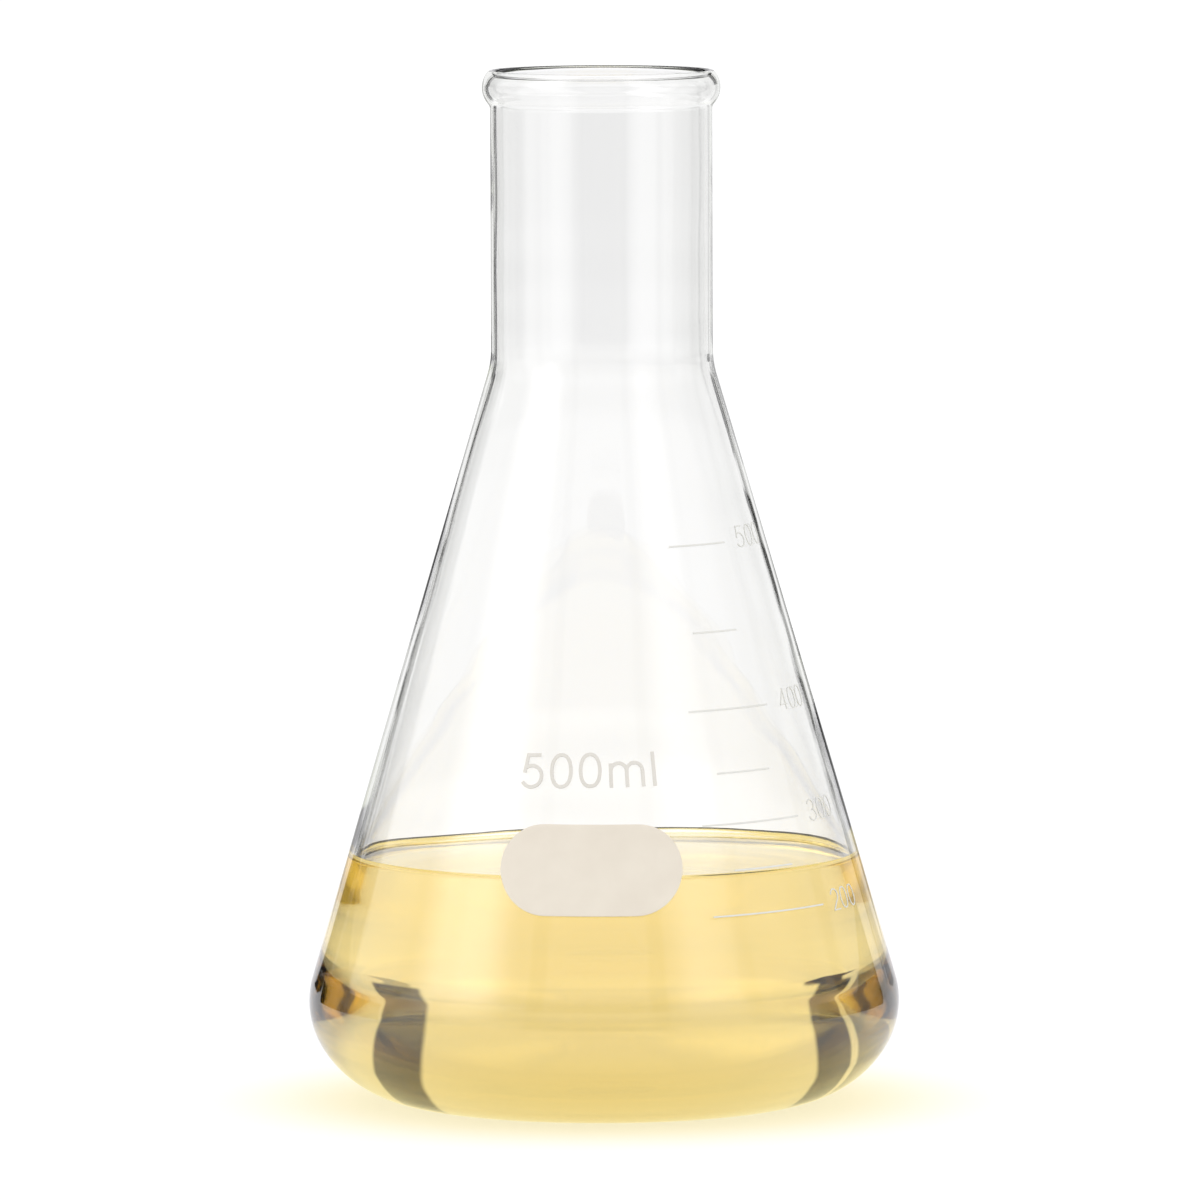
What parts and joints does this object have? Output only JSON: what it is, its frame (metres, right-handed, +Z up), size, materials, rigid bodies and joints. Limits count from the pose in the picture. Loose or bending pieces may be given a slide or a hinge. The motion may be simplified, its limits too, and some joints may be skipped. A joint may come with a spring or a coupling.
{
  "type": "erlenmeyer flask",
  "caption": "Clear conical laboratory flask with a beaded rim, straight neck, rounded heel, printed scale and writing spot, part filled with an amber liquid.",
  "frame": {"origin": "centre of the circle that the flask stands on, in the plane of the table", "axes": "+Z up along the flask's axis, out of its mouth; -Y is the side with the writing spot, and the scale stands to its right, towards +X"},
  "size_m": [0.105, 0.105, 0.1833],
  "materials": {
    "glass": "polished",
    "liquid": "polished",
    "enamel": "matte"
  },
  "bodies": {
    "root": {"flask": "glass", "liquid": "liquid", "marking_spot": "enamel", "graduation_lines": "enamel"}
  },
  "joints": []
}
